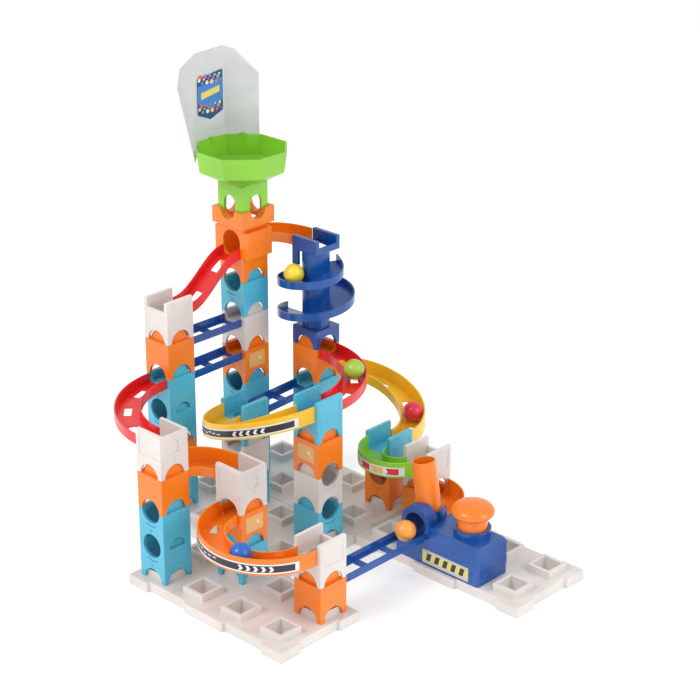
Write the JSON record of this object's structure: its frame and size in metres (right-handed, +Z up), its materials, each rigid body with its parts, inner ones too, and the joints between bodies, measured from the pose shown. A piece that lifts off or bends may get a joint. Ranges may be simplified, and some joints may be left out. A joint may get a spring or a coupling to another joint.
{
  "type": "marble run",
  "caption": "Tower marble run: tabbed base tiles, arched block towers, curved and straight tracks, corkscrew, hopper with clear screen, push-button launcher and rolling balls.",
  "frame": {"origin": "centre of the bounding box, on the underside of the base tiles", "axes": "+X along the launcher's length, +Y back along the long tracks, +Z up"},
  "size_m": [0.5874, 0.501, 0.623],
  "materials": {
    "white": "smooth moulded plastic",
    "orange": "smooth moulded plastic",
    "sky": "smooth moulded plastic",
    "blue": "smooth moulded plastic",
    "red": "smooth moulded plastic",
    "yellow": "smooth moulded plastic",
    "green": "smooth moulded plastic",
    "clear": "smooth moulded plastic",
    "ball_green": "smooth moulded plastic"
  },
  "bodies": {
    "frame": {"tile_front": "white", "tile_middle": "white", "tile_back": "white", "tile_right": "white", "catch_a": "white", "catch_e": "white", "catch_f": "white", "catch_b": "white", "tower_c_exit": "white", "tower_d_second": "white", "hopper_tower_white": "white", "catch_h": "white", "tower_a_exit": "orange", "tower_e_exit": "orange", "tower_f_exit": "orange", "tower_b_second": "orange", "tower_b_exit": "orange", "tower_d_third": "orange", "hopper_tower_orange": "orange", "spiral_tower_exit": "orange", "tower_g_low": "orange", "tower_h_exit": "orange", "bend_orange_top": "orange", "bend_orange_front": "orange", "bend_orange_right": "orange", "turn_orange": "orange", "splitter": "orange", "tower_a_tall": "sky", "tower_e_low": "sky", "tower_b_low": "sky", "tower_b_tall": "sky", "tower_c_low": "sky", "catch_c": "sky", "tower_d_low": "sky", "catch_d": "sky", "hopper_tower_low": "sky", "hopper_tower_blue": "sky", "spiral_tower_low": "sky", "catch_g": "sky", "bridge_upper": "blue", "bridge_lower": "blue", "bridge_middle": "blue", "bridge_launcher": "blue", "corkscrew": "blue", "launcher_body": "blue", "slide_red": "red", "curve_red_front": "red", "curve_red_back": "red", "turn_yellow_front": "yellow", "turn_yellow_back": "yellow", "turn_green": "green", "hopper": "green", "backboard": "clear"},
    "barrel": {"launcher_barrel": "orange"},
    "button": {"launcher_button": "orange"},
    "ball_orange": {"ball_orange": "orange"},
    "ball_blue": {"ball_blue": "blue"},
    "ball_red": {"ball_red": "red"},
    "ball_green": {"ball_green": "ball_green"},
    "ball_yellow": {"ball_yellow": "yellow"}
  },
  "joints": [
    {"name": "button_press", "type": "slide", "parent": "frame", "child": "button", "axis": [0, 0, -1], "range_m": [0, 0.012], "stiffness_N_per_m": 400, "springref_m": -0.002},
    {"name": "barrel_aim", "type": "hinge", "parent": "frame", "child": "barrel", "pos_m": [0.118, 0.07, 0.06], "axis": [0, 1, 0], "range_deg": [-2.5, 2.5]},
    {"name": "orange_ball_roll", "type": "slide", "parent": "frame", "child": "ball_orange", "axis": [0, 1, 0], "range_m": [-0.12, 0.02]},
    {"name": "blue_ball_roll", "type": "hinge", "parent": "frame", "child": "ball_blue", "pos_m": [0.04899, -0.16296, 0.11431], "axis": [0.0226, 0.0073, 0.9997], "range_deg": [-40, 40]},
    {"name": "red_ball_roll", "type": "hinge", "parent": "frame", "child": "ball_red", "pos_m": [-0.09449, 0.15972, 0.12146], "axis": [-0.1732, 0.1845, -0.9674], "range_deg": [-7, 7]},
    {"name": "green_ball_roll", "type": "hinge", "parent": "frame", "child": "ball_green", "pos_m": [-0.13807, 0.02293, 0.21486], "axis": [-0.0211, 0.0211, -0.9996], "range_deg": [-25, 25]},
    {"name": "yellow_ball_roll", "type": "hinge", "parent": "frame", "child": "ball_yellow", "pos_m": [-0.16066, 0.14148, 0.32352], "axis": [0.1962, -0.0453, -0.9795], "range_deg": [-10, 10]}
  ]
}
